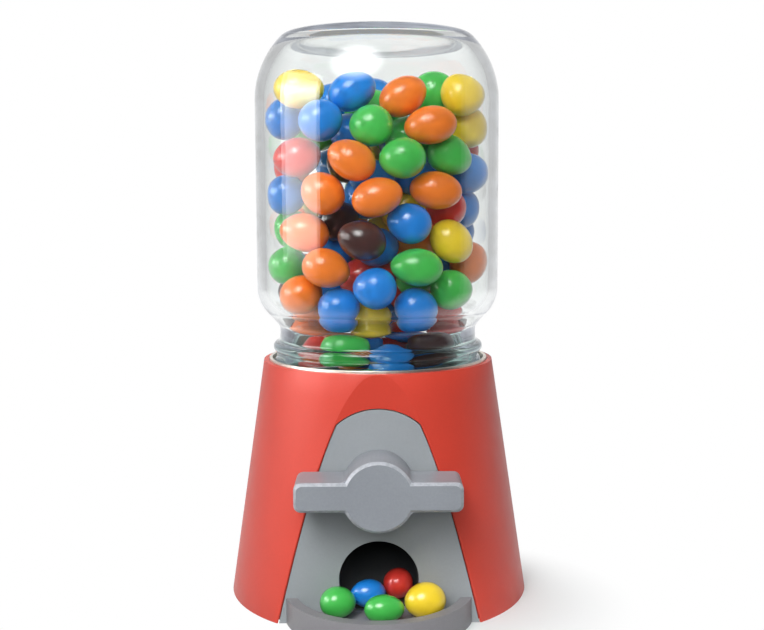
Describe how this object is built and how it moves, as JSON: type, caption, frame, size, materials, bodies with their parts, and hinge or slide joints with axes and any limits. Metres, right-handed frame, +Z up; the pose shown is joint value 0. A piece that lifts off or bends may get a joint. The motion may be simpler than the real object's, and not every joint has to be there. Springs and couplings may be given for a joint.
{
  "type": "gumball machine",
  "caption": "Candy dispenser: an upturned glass jar of coated candies screws into a tapered base whose winged knob turns a pocketed drum, which drops candies down a chute into a tray.",
  "frame": {"origin": "centre of the bottom plate's underside, on the jar's axis, at the surface that the machine stands on", "axes": "+Z up along the jar's axis, -Y out of the front panel, +X to the right seen from the front"},
  "size_m": [0.118, 0.1307, 0.2186],
  "materials": {
    "red_shell": "satin moulded plastic",
    "grey_panel": "satin moulded plastic",
    "grey_knob": "satin moulded plastic",
    "dark_grey": "matt moulded plastic",
    "pale_plastic": "satin moulded plastic",
    "acetal": "smooth acetal",
    "steel": "zinc plated steel",
    "collar": "satin lacquered steel",
    "gasket": "soft sealing ring",
    "glass": "clear glass",
    "candy_orange": "polished sugar shell",
    "candy_blue": "polished sugar shell",
    "candy_green": "polished sugar shell",
    "candy_yellow": "polished sugar shell",
    "candy_red": "polished sugar shell",
    "candy_brown": "polished sugar shell"
  },
  "bodies": {
    "base": {"base_shell": "red_shell", "front_panel": "grey_panel", "candy_tray": "grey_panel", "chute": "dark_grey", "base_plate": "dark_grey", "base_screws": "steel", "panel_screws": "steel", "tray_screws": "steel", "chute_screws": "steel", "hopper": "pale_plastic", "drum_housing": "dark_grey", "housing_cap": "dark_grey", "housing_screws": "steel", "cap_screws": "steel", "front_bush": "acetal", "rear_bush": "acetal", "jar_collar": "collar", "collar_screws": "steel", "jar_gasket": "gasket", "tray_candies": "candy_yellow"},
    "contents": {"candies_orange": "candy_orange", "candies_blue": "candy_blue", "candies_green": "candy_green", "candies_yellow": "candy_yellow", "candies_red": "candy_red", "candies_brown": "candy_brown"},
    "jar": {"jar": "glass"},
    "knob": {"knob": "grey_knob", "drum_shaft": "steel", "dispensing_drum": "acetal", "drum_pin": "steel", "knob_set_screw": "steel", "thrust_washer": "steel", "retaining_clip": "steel", "pocket_candies": "candy_green"}
  },
  "joints": [
    {"name": "knob_turn", "type": "hinge", "parent": "base", "child": "knob", "pos_m": [0, -0.006, 0.0524], "axis": [0, -1, 0], "continuous": true},
    {"name": "jar_rise", "type": "slide", "parent": "base", "child": "contents", "axis": [0, 0, 1], "range_m": [0, 0.01125]},
    {"name": "jar_turn", "type": "hinge", "parent": "contents", "child": "jar", "pos_m": [0, 0, 0.15], "axis": [0, 0, 1], "range_deg": [0, 150]}
  ],
  "couplings": [
    {"joint": "jar_turn", "follows": "jar_rise", "rad_per_m": 232.56}
  ]
}
